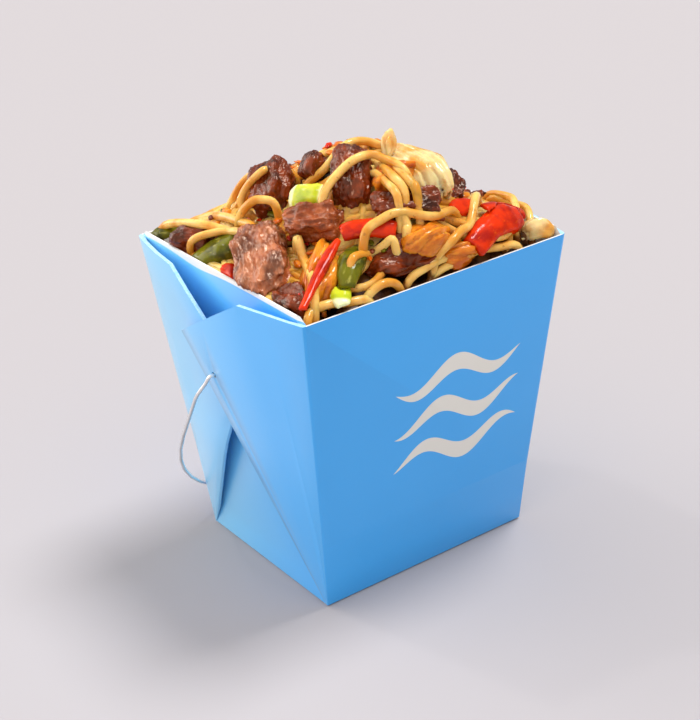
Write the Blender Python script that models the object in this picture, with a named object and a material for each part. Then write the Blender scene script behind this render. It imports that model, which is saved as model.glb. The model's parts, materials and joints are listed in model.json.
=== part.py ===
"""Noodle takeaway box: a folded paperboard pail with a wire handle, heaped with beef noodles.

Frame: metres, +Z up, origin at the bottom centre of the box. The plain front panel faces -Y, and
the two side panels with the folded webs and the wire handle face -X and +X.

The pail is folded from one sheet. At each of its four upright corners a web of doubled board
folds round onto the side panel, so a side carries two webs, and the front one lies over the rear
one. The wire handle passes through both. The noodles are one solid up to their uneven outline,
and the pieces of beef, pepper and onion are bedded in it.
"""

import math

import bmesh
import bpy
from mathutils import Euler, Matrix, Vector, noise

# ---- Driving dimensions, metres and degrees -------------------------------------------------
HEIGHT = 0.102              # front and back rim above the table
BASE_X, BASE_Y = 0.0768, 0.0646     # outside of the base
TOP_X, TOP_Y = 0.0957, 0.0902       # outside of the rim
BOARD = 0.0006              # one layer of paperboard
FLOOR = 0.0012              # folded base, two layers
LIP = 0.0019                # the side panels' rim stands this much above the front rim
BASE_ROUND = 0.0006         # rounding under the base edge
CORNER_ROUND = 0.0012       # rounding of the upright corners
FOLD_UP = 0.008             # height over which the folded layers reach their full thickness

WEB_SLOPE = 0.5755          # the web's fold line moves this far inwards for each metre of height
WEB_PEAK_RATIO = 0.2526     # where the web's top edge turns, as width over height
WEB_PEAK_DROP = 0.0005      # the turn lies this much under the front rim
WEB_CUT_SLOPE = 0.5794      # fall of the top edge past the turn
WEB_CURVE = (0.168, 0.202, -0.397)  # stand-off of the web over height, as a cubic in width over height
WEB_TUCK = 0.0015           # how far the rear web is tucked in under the front one
TUCK_LOW, TUCK_HIGH = 0.040, 0.054  # heights between which the tuck comes in

WIRE = 0.00115              # diameter of the wire
WIRE_HOLE = 0.0020          # hole through the webs
PIVOT_Z = 0.0718            # height of the hinge line
REST_ANGLE = 58.5           # the handle hangs this far below the horizontal, behind the box
ARM_X = 0.0555              # the arms' distance from the centre
ARM_EYE_X = 0.0530          # the arms' distance from the centre at the hole
ARM_STRAIGHT = 0.030        # straight part of each arm, from the hinge line
HOOK_X, HOOK = 0.0463, 0.0028       # bent end of the wire inside the web

HEAP_GAP = 0.0004           # between the heap and the board
HEAP_EDGE_Z = 0.099         # heap height at the walls
HEAP_SHOULDER = 0.006       # rise just inside the walls
HEAP_RISE = 0.025           # further rise of the hump
HEAP_PEAK = (0.004, -0.004)         # plan position of the hump
HEAP_SPREAD = (0.018, 0.026)        # spread of the hump
HEAP_HALF = (0.047, 0.044)          # half size of the heap at the rim
HEAP_GRID = 13              # cells along each side of the heap's top
CLEARANCE = 0.00035         # gap between toppings that touch
BED_CLEARANCE = 0.0006      # gap between the heap and what is bedded in it
MM = 0.001

# ---- Colours: linear red, green, blue, then roughness and metallic ---------------------------
FINISHES = {
    "printed_board": ((0.085, 0.30, 0.62), 0.55, 0.0),
    "noodle": ((0.68, 0.36, 0.08), 0.35, 0.0),
    "beef": ((0.17, 0.045, 0.020), 0.35, 0.0),
    "red_pepper": ((0.62, 0.045, 0.010), 0.25, 0.0),
    "green_pepper": ((0.13, 0.20, 0.015), 0.25, 0.0),
    "onion": ((0.66, 0.40, 0.12), 0.28, 0.0),
    "steel_wire": ((0.62, 0.63, 0.65), 0.25, 1.0),
}

# ---- Toppings ---------------------------------------------------------------------------------
# name, kind, plan position x and y (mm), lift of the middle above the heap (mm), heading (deg),
# length, width, thickness (mm), extra tip and roll (deg), bend (deg). Earlier pieces stay whole,
# and later ones are cut clear of them.
TOPPINGS = [
    ("pepper_strip_front", "red_pepper", -33, -34, 5.5, 32, 27, 4.5, 3.5, 0, 0, 18),
    ("beef_large_left", "beef", -37, -11, 3.5, 55, 28, 18, 11, 10, 0, 14),
    ("onion_front", "onion", -31, -30, 2.5, 42, 25, 13, 9, 5, -10, 0),
    ("beef_mid_left", "beef", -21, -15, 4.0, -50, 18, 11, 9, 0, 0, 10),
    ("leek_bright", "green_pepper", -16, -8, 4.5, -60, 14, 7, 5, 0, 20, 15),
    ("pepper_strip_long", "red_pepper", -13, -30, 3.5, -33, 16, 6, 4, 0, 0, 25),
    ("beef_arch", "beef", -6, -13, 1.0, 40, 22, 12, 9, 6, 0, 12),
    ("beef_slab", "beef", 0, -30, 3.5, -25, 20, 9, 7, 0, 0, 18),
    ("onion_large", "onion", 14, -19, 3.0, 105, 25, 18, 8, 0, 0, 0),
    ("onion_amber", "onion", 2, -22, 3.5, 5, 15, 10, 7, 4, 10, 0),
    ("beef_front", "beef", -7, -38, -3.0, -10, 20, 11, 9, 0, 0, 14),
    ("onion_mid", "onion", 0, -38, 2.5, 10, 17, 13, 8, 0, 0, 0),
    ("pepper_strip_bent", "red_pepper", 25, -38.5, 0.5, 19, 25, 9, 6, 4, 0, 35),
    ("pepper_strip_right", "red_pepper", 31, -34, 3.5, -8, 17, 6, 4, 5, 0, 30),
    ("pepper_mid", "red_pepper", 18, -32, 1.5, 10, 10, 6, 4, 0, 0, 20),
    ("beef_back_right", "beef", 22, -23, 0.5, 75, 13, 7, 8, 12, 0, 10),
    ("beef_tall_left", "beef", -17, 10, 5.0, 35, 17, 13, 10, 12, 0, 12),
    ("beef_small_back", "beef", -8, 2, 1.5, 10, 10, 8, 7, 10, 0, 0),
    ("beef_far_left", "beef", -40, 23, 1.0, -65, 17, 11, 9, 0, 0, 12),
    ("pepper_green_left", "green_pepper", -40, 9, 0.5, -42, 17, 10, 6, 0, 0, 50),
    ("pepper_green_mid", "green_pepper", -23, -35, 2.5, 40, 17, 7, 5, 0, 0, 35),
    ("pepper_green_front", "green_pepper", -30, -38, 2.0, 60, 14, 7, 5, 0, 0, 25),
    ("beef_corner", "beef", -41, -32, 0.0, -80, 14, 9, 7, 0, 0, 8),
    ("onion_front_right", "onion", 10, -42, 1.0, 0, 12, 9, 5, 0, 0, 0),
    ("onion_right", "onion", 42, -39, 1.5, -20, 10, 8, 5, 10, 0, 0),
    ("pepper_small_left", "red_pepper", -43, -3, 1.0, -75, 8, 6, 5, 0, 0, 15),
    ("onion_tip", "onion", 7, -12, 4.0, 60, 10, 5, 5, 40, 0, 0),
    ("pepper_olive_corner", "green_pepper", -42, 37, 0.5, -45, 11, 6, 4, 0, 0, 20),
    ("beef_back_middle", "beef", 6, 29, -3.0, -20, 19, 12, 8, 0, 0, 12),
    ("beef_back_corner", "beef", 32, 20, 1.5, 75, 17, 11, 8, 0, 0, 10),
    ("onion_back", "onion", -14, 33, 0.5, 25, 19, 12, 7, 0, 0, 0),
    ("pepper_strip_back", "red_pepper", 22, 35, 1.5, -15, 22, 5, 4, 0, 0, 40),
    ("pepper_green_back", "green_pepper", 40, 2, -1.5, 80, 17, 8, 5, 0, 0, 45),
    ("onion_side", "onion", 29, 2, 1.5, -50, 16, 11, 7, 0, 0, 0),
]


def material(name):
    """One plain finish from the table above."""
    colour, roughness, metallic = FINISHES[name]
    mat = bpy.data.materials.new(name)
    mat.use_nodes = True
    shader = mat.node_tree.nodes["Principled BSDF"]
    shader.inputs["Base Color"].default_value = (*colour, 1.0)
    shader.inputs["Roughness"].default_value = roughness
    shader.inputs["Metallic"].default_value = metallic
    return mat


def add_object(name, data, mat):
    """Link a mesh or curve to the scene as a named object."""
    obj = bpy.data.objects.new(name, data)
    data.materials.append(mat)
    bpy.context.scene.collection.objects.link(obj)
    return obj


def mesh_from_bmesh(name, bm):
    """Turn a bmesh into a mesh with outward faces and smooth shading."""
    bmesh.ops.recalc_face_normals(bm, faces=bm.faces[:])
    mesh = bpy.data.meshes.new(name)
    bm.to_mesh(mesh)
    bm.free()
    mesh.shade_smooth()
    mesh.set_sharp_from_angle(angle=math.radians(40))
    return mesh


def ramp(value, low, high):
    """Smooth step from 0 at low to 1 at high."""
    t = min(max((value - low) / (high - low), 0.0), 1.0)
    return t * t * (3.0 - 2.0 * t)


# ---- Carton -----------------------------------------------------------------------------------
def half_x(z):
    """Half width between the upright corners at height z."""
    return (BASE_X + (TOP_X - BASE_X) * z / HEIGHT) / 2


def half_y(z):
    """Half depth between the front and back panels at height z."""
    return (BASE_Y + (TOP_Y - BASE_Y) * z / HEIGHT) / 2


def layers(z):
    """Thickness of the doubled web, which tapers out at the base."""
    return 2 * BOARD * min(1.0, z / FOLD_UP)


WEB_REACH = WEB_SLOPE + (TOP_Y - BASE_Y) / HEIGHT / 2   # width over height at the fold line


def web_top(ratio):
    """Height of the web's cut edge where its width over height is ratio."""
    if ratio <= WEB_PEAK_RATIO:
        return HEIGHT - WEB_PEAK_DROP * ratio / WEB_PEAK_RATIO
    peak_z = HEIGHT - WEB_PEAK_DROP
    peak_y = half_y(peak_z) - WEB_PEAK_RATIO * peak_z
    lean = (TOP_Y - BASE_Y) / HEIGHT / 2
    start = peak_z + WEB_CUT_SLOPE * (BASE_Y / 2 - peak_y)
    return start / (1.0 - WEB_CUT_SLOPE * (lean - ratio))


def stand_off(ratio, z):
    """How far the web's outer face stands off the plane through the corners."""
    a, b, c = WEB_CURVE
    return z * (a * ratio + b * ratio ** 2 + c * ratio ** 3)


def web_width(ratio, z):
    """Distance from the upright corner along the side, at height z."""
    return ratio * z + 0.05 * MM


def web_face(ratio, z, rear):
    """Stand-off of the outer face, with the rear web tucked in under the front one."""
    out = stand_off(ratio, z)
    if rear:
        mirror = max((2 * half_y(z) - web_width(ratio, z)) / z, 0.0)
        over = max(out - stand_off(mirror, z), 0.0) if mirror < WEB_REACH else 0.0
        tucked = ramp(z, TUCK_LOW, TUCK_HIGH) * ramp(ratio, 0.10, 0.32)
        out -= tucked * (WEB_TUCK + over)
    return out


# Each column of the carton's skin is a point that runs up from the base to its own top height.
def corner_column(angle):
    """A column of the rounded corner; 0 lies on the front or back panel and 90 on the side."""
    def place(z):
        radius = min(CORNER_ROUND, 0.055 * z + 0.05 * MM)
        turn = math.radians(angle)
        return half_x(z) - radius * (1 - math.sin(turn)), half_y(z) - radius * (1 - math.cos(turn))
    return HEIGHT, place


def web_column(ratio, rear, depth):
    """A column of the web; depth 0 is its outer face and 1 its inner face."""
    def place(z):
        out = half_x(z) + web_face(ratio, z, rear) - depth * layers(z)
        return out, half_y(z) - web_width(ratio, z)
    return web_top(ratio), place


def nose_column(rear):
    """The rounded edge along the web's fold line."""
    def place(z):
        out = half_x(z) + web_face(WEB_REACH, z, rear) - 0.5 * layers(z)
        return out, half_y(z) - web_width(WEB_REACH, z) - 0.4 * layers(z)
    return web_top(WEB_REACH), place


def panel_column(top, inset, share):
    """A column of the side panel's outer face, share of the way from its end to its middle."""
    def place(z):
        end = half_y(z) - 0.03 * z - inset * z / HEIGHT
        return half_x(z) - layers(z), end * (1 - share)
    return top, place


WEB_RATIOS = [0.06, 0.15, WEB_PEAK_RATIO, 0.36, 0.48, 0.60, WEB_REACH]
LEVELS = [0.0, 0.05, 0.10, 0.22, 0.38, 0.46, 0.54, 0.62, 0.74, 0.87, 1.0]


def corner_columns(sign_x, sign_y):
    """The columns of one corner, from the front or back panel round its web to the side panel."""
    rear = sign_y > 0
    columns = [corner_column(a) for a in (0, 45, 90)]
    columns += [web_column(q, rear, 0) for q in WEB_RATIOS]
    columns.append(nose_column(rear))
    columns += [web_column(q, rear, 1) for q in reversed(WEB_RATIOS)]
    columns.append(panel_column(HEIGHT, 0.0, 0.0))
    columns.append(panel_column(HEIGHT + LIP, 2.5 * MM, 0.0))
    return [(top, place, sign_x, sign_y) for top, place in columns]


def carton_mesh():
    """The pail as one solid: four walls, a floor and four folded webs."""
    corners = {(sx, sy): corner_columns(sx, sy) for sx in (-1, 1) for sy in (-1, 1)}
    order = [((1, -1), False), ((1, 1), True), ((-1, 1), False), ((-1, -1), True)]
    columns = []
    spans = {}
    for key, reverse in order:
        block = corners[key][::-1] if reverse else corners[key]
        spans[key] = (len(columns), len(block), reverse)
        columns += block
    bm = bmesh.new()

    def ring(level):
        verts = []
        for top, place, sign_x, sign_y in columns:
            z = BASE_ROUND + level * (top - BASE_ROUND)
            x, y = place(z)
            verts.append(bm.verts.new((sign_x * x, sign_y * y, z)))
        return verts

    def join(lower, upper):
        count = len(lower)
        for i in range(count):
            j = (i + 1) % count
            bm.faces.new((lower[i], lower[j], upper[j], upper[i]))

    rings = [ring(level) for level in LEVELS]
    for lower, upper in zip(rings, rings[1:]):
        join(lower, upper)
    shrink = Matrix.Diagonal((1 - 2 * BASE_ROUND / BASE_X, 1 - 2 * BASE_ROUND / BASE_Y, 0.0))
    under = [bm.verts.new(shrink @ v.co) for v in rings[0]]
    join(under, rings[0])
    bm.faces.new(under[::-1])

    def column_vert(key, index):
        first, count, reverse = spans[key]
        return rings[-1][first + (count - 1 - index if reverse else index)]

    # Inside of the box: two corners' worth of points on each side wall, floor to rim.
    inner_low, inner_top = [], []
    for key, reverse in order:
        sign_x, sign_y = key
        points = [(HEIGHT, 0.0), (HEIGHT + LIP, 2.6 * MM)]
        for top, along in (points[::-1] if reverse else points):
            for z, store in ((FLOOR, inner_low), (top, inner_top)):
                x = half_x(z) - 3 * BOARD
                y = half_y(z) - BOARD - along * (0.5 if z == FLOOR else 1.0)
                store.append(bm.verts.new((sign_x * x, sign_y * y, z)))
    join(inner_top, inner_low)
    bm.faces.new(inner_low)

    # Cut edges: a strip along each web and along each wall's rim.
    last = len(WEB_RATIOS)
    for slot, (key, reverse) in enumerate(order):
        get = lambda i, key=key: column_vert(key, i)
        wall_corner = inner_top[2 * slot + (1 if reverse else 0)]
        wall_lip = inner_top[2 * slot + (0 if reverse else 1)]
        faces = [[get(3 + i), get(4 + i), get(3 + 2 * last - i - 1), get(3 + 2 * last - i)]
                 for i in range(last - 1)]
        faces.append([get(2 + last), get(3 + last), get(4 + last)])
        faces.append([get(0), get(1), get(2), get(3), get(3 + 2 * last), get(4 + 2 * last), wall_corner])
        faces.append([get(4 + 2 * last), get(5 + 2 * last), wall_lip, wall_corner])
        for face in faces:
            bm.faces.new(face)
    for a, b, edge in (((-1, -1), (1, -1), 0), ((1, 1), (-1, 1), 0),
                       ((1, -1), (1, 1), 1), ((-1, 1), (-1, -1), 1)):
        slot = {key: i for i, (key, _) in enumerate(order)}
        turned = {key: reverse for key, reverse in order}
        index = 0 if edge == 0 else 5 + 2 * last
        inner = [inner_top[2 * slot[k] + (edge if not turned[k] else 1 - edge)] for k in (a, b)]
        bm.faces.new([column_vert(a, index), column_vert(b, index), inner[1], inner[0]])
    bmesh.ops.triangulate(bm, faces=bm.faces[:])
    return mesh_from_bmesh("carton", bm)


def drill(obj, name, x_from, x_to, radius, z):
    """Cut a round hole along X through obj."""
    bm = bmesh.new()
    turn = Matrix.Translation(((x_from + x_to) / 2, 0, z)) @ Matrix.Rotation(math.pi / 2, 4, "Y")
    bmesh.ops.create_cone(bm, cap_ends=True, segments=16, radius1=radius, radius2=radius,
                          depth=abs(x_to - x_from), matrix=turn)
    cutter = bpy.data.objects.new(name, mesh_from_bmesh(name, bm))
    bpy.context.scene.collection.objects.link(cutter)
    subtract(obj, cutter)


def subtract(obj, cutter, solver="EXACT"):
    """Boolean difference, applied, after which the cutter is removed."""
    cut = obj.modifiers.new("cut", "BOOLEAN")
    cut.operation = "DIFFERENCE"
    cut.solver = solver
    cut.object = cutter
    bpy.context.view_layer.update()
    graph = bpy.context.evaluated_depsgraph_get()
    result = bpy.data.meshes.new_from_object(obj.evaluated_get(graph))
    obj.modifiers.remove(cut)
    obj.data = result
    bpy.data.objects.remove(cutter)


def make_carton():
    carton = add_object("carton", carton_mesh(), material("printed_board"))
    for side in (-1, 1):
        inside, outside = side * (half_x(PIVOT_Z) + 0.0005), side * (ARM_EYE_X + 0.004)
        drill(carton, "wire_hole", inside, outside, WIRE_HOLE / 2, PIVOT_Z)
    return carton


# ---- Wire handle ------------------------------------------------------------------------------
def handle_route():
    """Points of half the handle: across, then out along the arm, from the hooked end."""
    reach = (PIVOT_Z - WIRE / 2) / math.sin(math.radians(REST_ANGLE))
    bend = 0.0007
    points = [(HOOK_X, HOOK), (HOOK_X, bend), (HOOK_X + 0.3 * bend, 0.3 * bend), (HOOK_X + bend, 0.0),
              (ARM_EYE_X - bend, 0.0), (ARM_EYE_X - 0.3 * bend, 0.3 * bend), (ARM_EYE_X, bend)]
    rise = 4
    for i in range(1, rise + 1):
        t = i / rise
        points.append((ARM_EYE_X + (ARM_X - ARM_EYE_X) * ramp(t, 0, 1), bend + (0.010 - bend) * t))
    points.append((ARM_X, ARM_STRAIGHT))
    arc = 11
    for i in range(1, arc + 1):
        turn = math.radians(90) * i / arc
        points.append((ARM_X * math.cos(turn), ARM_STRAIGHT + (reach - ARM_STRAIGHT) * math.sin(turn)))
    return points


def make_handle():
    half = handle_route()
    route = [(-x, s) for x, s in half[:-1]] + [(0.0, half[-1][1])] + [(x, s) for x, s in half[-2::-1]]
    curve = bpy.data.curves.new("wire_handle", "CURVE")
    curve.dimensions = "3D"
    curve.bevel_depth = WIRE / 2
    curve.bevel_resolution = 2
    curve.use_fill_caps = True
    spline = curve.splines.new("POLY")
    spline.points.add(len(route) - 1)
    for point, (x, s) in zip(spline.points, route):
        point.co = (x, s, 0.0, 1.0)
    handle = add_object("wire_handle", curve, material("steel_wire"))
    handle.location = (0.0, 0.0, PIVOT_Z)
    handle.rotation_euler = (math.radians(-REST_ANGLE), 0.0, 0.0)
    return handle


# ---- Noodle heap ------------------------------------------------------------------------------
def heap_top(x, y):
    """Height of the heap over a plan point, without its small bumps."""
    edge_x = 1 - min(abs(x) / HEAP_HALF[0], 1.0) ** 6
    edge_y = 1 - min(abs(y) / HEAP_HALF[1], 1.0) ** 6
    across = (x - HEAP_PEAK[0]) / HEAP_SPREAD[0]
    along = (y - HEAP_PEAK[1]) / HEAP_SPREAD[1]
    hump = math.exp(-0.5 * (across ** 2 + along ** 2))
    return HEAP_EDGE_Z + math.sqrt(edge_x * edge_y) * (HEAP_SHOULDER + HEAP_RISE * hump)


def make_heap():
    """Noodles as one solid: the box's inside from floor to rim, with the uneven hump on top."""
    bm = bmesh.new()
    count = HEAP_GRID + 1

    def limits(z):
        return half_x(z) - 3 * BOARD - HEAP_GAP, half_y(z) - BOARD - HEAP_GAP

    grid = []
    for i in range(count):
        row = []
        for j in range(count):
            u, v = 2 * i / HEAP_GRID - 1, 2 * j / HEAP_GRID - 1
            reach_x, reach_y = limits(HEAP_EDGE_Z)
            x, y = u * reach_x, v * reach_y
            bump = noise.noise(Vector((x, y, 0.0)) / (7 * MM)) * (1 - max(abs(u), abs(v)) ** 4)
            row.append(bm.verts.new((x, y, heap_top(x, y) + 1.6 * MM * bump)))
        grid.append(row)
    for i in range(HEAP_GRID):
        for j in range(HEAP_GRID):
            bm.faces.new((grid[i][j], grid[i + 1][j], grid[i + 1][j + 1], grid[i][j + 1]))
    border = ([grid[i][0] for i in range(HEAP_GRID)] + [grid[HEAP_GRID][j] for j in range(HEAP_GRID)]
              + [grid[i][HEAP_GRID] for i in range(HEAP_GRID, 0, -1)]
              + [grid[0][j] for j in range(HEAP_GRID, 0, -1)])
    floor_z = FLOOR + HEAP_GAP
    low_x, low_y = limits(floor_z)
    high_x, high_y = limits(HEAP_EDGE_Z)
    foot = [bm.verts.new((v.co.x * low_x / high_x, v.co.y * low_y / high_y, floor_z)) for v in border]
    for i in range(len(border)):
        j = (i + 1) % len(border)
        bm.faces.new((foot[i], foot[j], border[j], border[i]))
    bm.faces.new(foot[::-1])
    bmesh.ops.triangulate(bm, faces=bm.faces[:])
    return add_object("noodle_heap", mesh_from_bmesh("noodle_heap", bm), material("noodle"))


# ---- Toppings ---------------------------------------------------------------------------------
def chunk(length, width, thickness, bend, seed):
    """A torn, cooked piece of beef: a rounded block with hollows and lumps."""
    bm = bmesh.new()
    bmesh.ops.create_cube(bm, size=2.0)
    cuts = 3 if length * width > 400 else 2
    bmesh.ops.subdivide_edges(bm, edges=bm.edges[:], cuts=cuts, use_grid_fill=True)
    for v in bm.verts:
        round_co = v.co.normalized() * 1.15
        co = v.co.lerp(round_co, 0.62)
        lump = noise.noise(co * 1.1 + Vector((seed * 3.1, 0, 0)))
        co *= 1 + 0.34 * lump
        sag = math.radians(bend) * co.x ** 2
        v.co = Vector((co.x * length / 2, co.y * width / 2, co.z * thickness / 2 - sag * length / 4))
    return bm


def strip(length, width, thickness, bend, seed):
    """A cut strip of pepper: a shallow channel section swept along an arc, with cut ends."""
    bm = bmesh.new()
    section = [(-1.0, -0.7), (-0.45, -0.45), (0.45, -0.45), (1.0, -0.7),
               (1.05, 0.35), (0.5, 0.8), (-0.5, 0.8), (-1.05, 0.35)]
    steps = 5
    turn = math.radians(max(bend, 1.0))
    radius = length / turn
    rings = []
    for i in range(steps + 1):
        t = i / steps - 0.5
        swell = 1.0 - 0.30 * (2 * abs(t)) ** 3 + 0.12 * math.sin(7 * t + seed)
        angle = turn * t
        middle = Vector((radius * math.sin(angle), radius * (math.cos(angle) - 1) + radius * turn ** 2 / 16, 0))
        side = Vector((math.sin(angle), math.cos(angle), 0))
        lift = 0.25 * thickness * math.sin(3.0 * t + 1.7 * seed)
        rings.append([bm.verts.new(middle + side * (a * width / 2 * swell)
                                   + Vector((0, 0, b * thickness / 2 * swell + lift)))
                      for a, b in section])
    count = len(section)
    for low, high in zip(rings, rings[1:]):
        for i in range(count):
            j = (i + 1) % count
            bm.faces.new((low[i], low[j], high[j], high[i]))
    bm.faces.new(rings[0][::-1])
    bm.faces.new(rings[-1])
    return bm


def petal(length, width, thickness, bend, seed):
    """A softened onion layer: a cupped, pointed shell of even thickness."""
    bm = bmesh.new()
    along, over = 6, 4
    skin = 1.7 * MM
    sheets = []
    for depth in (0.0, skin):
        sheet = []
        for i in range(along + 1):
            u = 2 * i / along - 1
            breadth = width / 2 * (1 - 0.72 * abs(u) ** 2.4) * (1 + 0.12 * math.sin(4 * u + seed))
            row = []
            for j in range(over + 1):
                v = 2 * j / over - 1
                arch = (thickness - skin) * (1 - 0.85 * v * v - 0.45 * u * u)
                wave = 0.10 * width * math.sin(2.4 * u + 2.0 * v + 1.9 * seed)
                row.append(bm.verts.new((u * length / 2, v * breadth * (1 - depth / width),
                                         arch + wave - depth - thickness / 3)))
            sheet.append(row)
        sheets.append(sheet)
    outer, inner = sheets
    for i in range(along):
        for j in range(over):
            bm.faces.new((outer[i][j], outer[i + 1][j], outer[i + 1][j + 1], outer[i][j + 1]))
            bm.faces.new((inner[i][j], inner[i][j + 1], inner[i + 1][j + 1], inner[i + 1][j]))
    for i in range(along):
        bm.faces.new((outer[i][0], inner[i][0], inner[i + 1][0], outer[i + 1][0]))
        bm.faces.new((outer[i][over], outer[i + 1][over], inner[i + 1][over], inner[i][over]))
    for j in range(over):
        bm.faces.new((outer[0][j], outer[0][j + 1], inner[0][j + 1], inner[0][j]))
        bm.faces.new((outer[along][j], inner[along][j], inner[along][j + 1], outer[along][j + 1]))
    return bm


SHAPES = {"beef": chunk, "red_pepper": strip, "green_pepper": strip, "onion": petal}


def resting_place(x, y, lift, heading, tip, roll):
    """Matrix that lays a piece on the heap at (x, y), its length along the heading."""
    step = 1.5 * MM
    slope_x = (heap_top(x + step, y) - heap_top(x - step, y)) / (2 * step)
    slope_y = (heap_top(x, y + step) - heap_top(x, y - step)) / (2 * step)
    normal = Vector((-slope_x, -slope_y, 1.0)).normalized()
    forward = Vector((math.cos(heading), math.sin(heading), 0.0))
    forward = (forward - normal * forward.dot(normal)).normalized()
    side = normal.cross(forward)
    lie = Matrix((forward, side, normal)).transposed()
    lie = lie @ Euler((roll, -tip, 0.0)).to_matrix()
    place = Vector((x, y, heap_top(x, y))) + normal * lift
    return Matrix.Translation(place) @ lie.to_4x4()


def swollen_copy(obj, amount):
    """A copy of obj grown outwards by amount, to cut a clearance with."""
    mesh = obj.data.copy()
    moves = [v.normal.copy() for v in mesh.vertices]
    for v, move in zip(mesh.vertices, moves):
        v.co += move * amount
    cutter = bpy.data.objects.new("clearance_cutter", mesh)
    bpy.context.scene.collection.objects.link(cutter)
    return cutter


def hull_cutter(obj, amount):
    """The convex hull of obj grown outwards by amount: the bed that it lies in."""
    bm = bmesh.new()
    bm.from_mesh(obj.data)
    hull = bmesh.ops.convex_hull(bm, input=bm.verts[:], use_existing_faces=False)
    shell = {item for item in hull["geom"] if isinstance(item, bmesh.types.BMFace)}
    bmesh.ops.delete(bm, geom=[f for f in bm.faces if f not in shell], context="FACES")
    bmesh.ops.remove_doubles(bm, verts=bm.verts[:], dist=0.4 * MM)
    mesh = mesh_from_bmesh("hull", bm)
    for v in mesh.vertices:
        v.co += v.normal.copy() * amount
    cutter = bpy.data.objects.new("bed_cutter", mesh)
    bpy.context.scene.collection.objects.link(cutter)
    return cutter


def boxes_meet(a, b):
    """Whether the bounds of two meshes come within the clearance of each other."""
    for axis in range(3):
        low_a, high_a = min(v.co[axis] for v in a.vertices), max(v.co[axis] for v in a.vertices)
        low_b, high_b = min(v.co[axis] for v in b.vertices), max(v.co[axis] for v in b.vertices)
        if low_a > high_b + 2 * CLEARANCE or low_b > high_a + 2 * CLEARANCE:
            return False
    return True


def keep_largest(obj):
    """Delete every loose bit that a cut has left, apart from the largest."""
    bm = bmesh.new()
    bm.from_mesh(obj.data)
    bmesh.ops.remove_doubles(bm, verts=bm.verts[:], dist=0.001 * MM)
    bmesh.ops.dissolve_degenerate(bm, edges=bm.edges[:], dist=0.001 * MM)
    seen, groups = set(), []
    for start in bm.faces:
        if start in seen:
            continue
        group, queue = [], [start]
        seen.add(start)
        while queue:
            face = queue.pop()
            group.append(face)
            for edge in face.edges:
                for other in edge.link_faces:
                    if other not in seen:
                        seen.add(other)
                        queue.append(other)
        groups.append(group)
    groups.sort(key=len)
    for group in groups[:-1]:
        bmesh.ops.delete(bm, geom=group, context="FACES")
    bmesh.ops.triangulate(bm, faces=bm.faces[:])
    bm.to_mesh(obj.data)
    bm.free()


def wall_cutter():
    """A thick collar that fills all the space outside the box's inner faces, up to over the rim."""
    bm = bmesh.new()
    loops = []
    for z, outer in ((HEIGHT - 0.030, True), (HEIGHT + LIP + CLEARANCE, True),
                     (HEIGHT + LIP + CLEARANCE, False), (HEIGHT - 0.030, False)):
        x = TOP_X if outer else half_x(z) - 3 * BOARD - CLEARANCE
        y = TOP_Y if outer else half_y(z) - BOARD - CLEARANCE
        loops.append([bm.verts.new((sx * x, sy * y, z)) for sx, sy in ((-1, -1), (1, -1), (1, 1), (-1, 1))])
    for low, high in zip(loops, loops[1:] + loops[:1]):
        for i in range(4):
            j = (i + 1) % 4
            bm.faces.new((low[i], low[j], high[j], high[i]))
    cutter = bpy.data.objects.new("wall_cutter", mesh_from_bmesh("wall_cutter", bm))
    bpy.context.scene.collection.objects.link(cutter)
    return cutter


def near_wall(mesh):
    """Whether a piece's bounds reach the walls, under the top of the rim."""
    under = min(v.co.z for v in mesh.vertices) < HEIGHT + LIP + 2 * CLEARANCE
    wide = max(abs(v.co.x) for v in mesh.vertices) > half_x(HEIGHT) - 4 * BOARD
    deep = max(abs(v.co.y) for v in mesh.vertices) > half_y(HEIGHT) - 3 * BOARD
    return under and (wide or deep)


def make_toppings():
    """Lay every piece on the heap and cut the later ones clear of the earlier ones."""
    finishes = {kind: material(kind) for kind in SHAPES}
    placed = []
    for seed, row in enumerate(TOPPINGS):
        name, kind, x, y, lift, heading, length, width, thickness, tip, roll, bend = row
        bm = SHAPES[kind](length * MM, width * MM, thickness * MM, bend, seed)
        bmesh.ops.transform(bm, verts=bm.verts[:], matrix=resting_place(
            x * MM, y * MM, lift * MM, math.radians(heading), math.radians(tip), math.radians(roll)))
        bmesh.ops.triangulate(bm, faces=bm.faces[:])
        piece = add_object(name, mesh_from_bmesh(name, bm), finishes[kind])
        if near_wall(piece.data):
            subtract(piece, wall_cutter())
        for other in placed:
            if boxes_meet(piece.data, other.data):
                subtract(piece, swollen_copy(other, CLEARANCE))
        keep_largest(piece)
        placed.append(piece)
    return placed


def main():
    for obj in list(bpy.data.objects):
        bpy.data.objects.remove(obj)
    make_carton()
    make_handle()
    heap = make_heap()
    for piece in make_toppings():
        subtract(heap, hull_cutter(piece, BED_CLEARANCE))
    keep_largest(heap)


main()
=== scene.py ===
# %% [markdown]
# # Noodle takeaway box
# A folded paperboard pail with a wire handle, heaped with noodles, beef, peppers and onion. The
# exact model gives every size and place. This script gives the looks: printed board with bare
# cut edges, bright wire, wet strands of noodle and glazed pieces of food. All lengths are metres.

# %% Load the exact model
import json
import math
import random

import bpy
import numpy as np
from mathutils import Matrix, Vector, noise


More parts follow.
